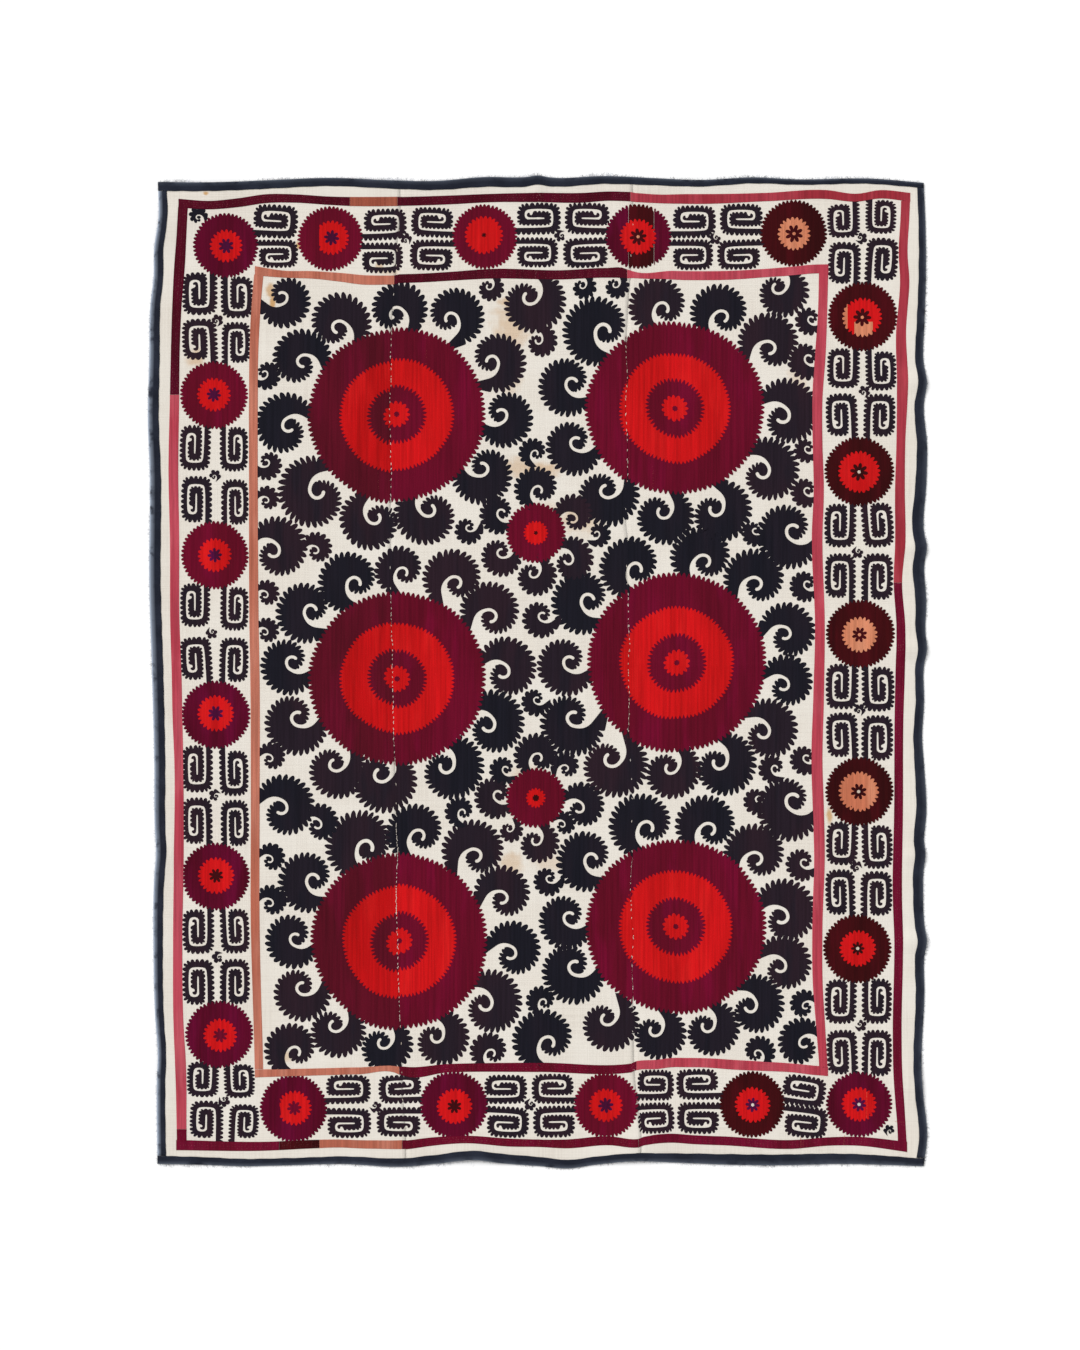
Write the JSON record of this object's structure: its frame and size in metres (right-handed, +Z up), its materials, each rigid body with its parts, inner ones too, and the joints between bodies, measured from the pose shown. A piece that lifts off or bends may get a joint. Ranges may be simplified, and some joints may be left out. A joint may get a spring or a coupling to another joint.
{
  "type": "suzani embroidered textile",
  "caption": "Embroidered cotton cover of joined loom breadths with large round medallions, curling leaves, a rosette border and a dark folded edging, lying flat with soft puckers along its edges.",
  "frame": {"origin": "on the floor, under the middle of the cloth's bounding box", "axes": "+Z is up, out of the embroidered face. +Y runs along the breadths to the head of the cloth, its longest way. X runs across the three breadths."},
  "size_m": [1.7136, 2.1821, 0.0099],
  "materials": {
    "ground": "undyed hand-woven plain-weave cotton, worked over with couched silk stitching",
    "edging": "plain-weave indigo cotton tape, matt, worn and frayed along its fold"
  },
  "bodies": {
    "root": {"breadth_left": "ground", "breadth_middle": "ground", "breadth_right": "ground", "edging_left": "edging", "edging_right": "edging", "edging_top": "edging", "edging_bottom": "edging"}
  },
  "joints": []
}
